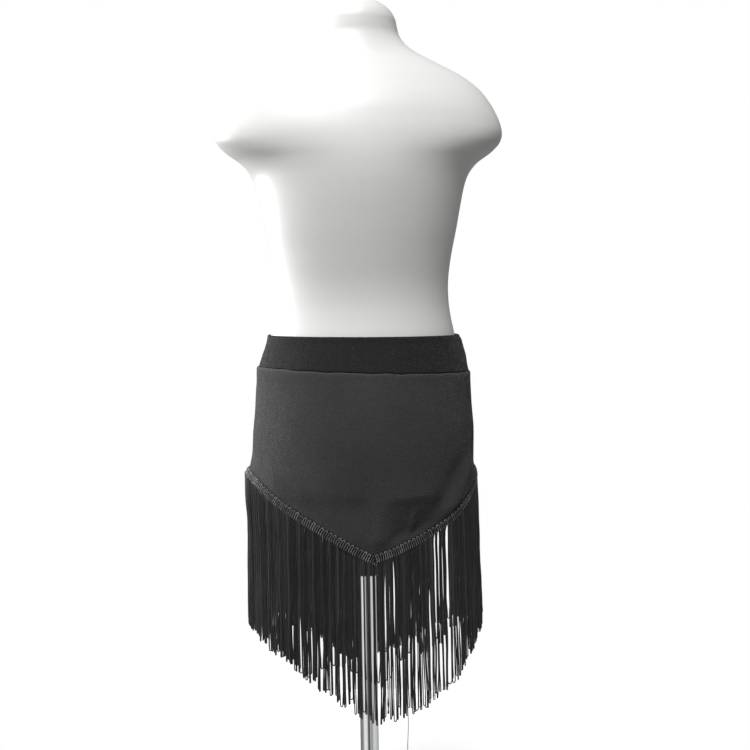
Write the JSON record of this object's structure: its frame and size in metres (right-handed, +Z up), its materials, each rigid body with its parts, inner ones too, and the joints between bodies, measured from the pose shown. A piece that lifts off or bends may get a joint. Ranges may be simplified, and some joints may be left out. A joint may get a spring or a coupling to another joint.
{
  "type": "fringe mini skirt on a limbless dress form with a stand",
  "caption": "Black stretch-knit mini skirt with an elastic waistband and a V-shaped hem trimmed with long looped fringe, worn by a white limbless dress form on a chrome pole and round foot.",
  "frame": {"origin": "centre of the underside of the stand's round foot, on the pole's axis", "axes": "+Z up along the pole, -Y to the wearer's back, +Y to the wearer's front, +X to the right of someone looking at the back"},
  "size_m": [0.378, 0.3, 1.1932],
  "materials": {
    "knit": "matte stretch knit",
    "band": "doubled matte stretch knit over elastic",
    "braid": "ribbed silky braid",
    "fringe": "twisted rayon cord, silky",
    "form_white": "matte white",
    "board_black": "black, satin",
    "chrome": "polished chrome"
  },
  "bodies": {
    "root": {"skirt_back": "knit", "skirt_front": "knit", "waistband_back": "band", "waistband_front": "band", "trim_header_back": "braid", "trim_header_front": "braid", "fringe_back": "fringe", "fringe_front": "fringe", "form_torso": "form_white", "form_base_plate": "board_black", "pole_socket": "board_black", "pole": "chrome", "stand_foot": "chrome"}
  },
  "joints": []
}
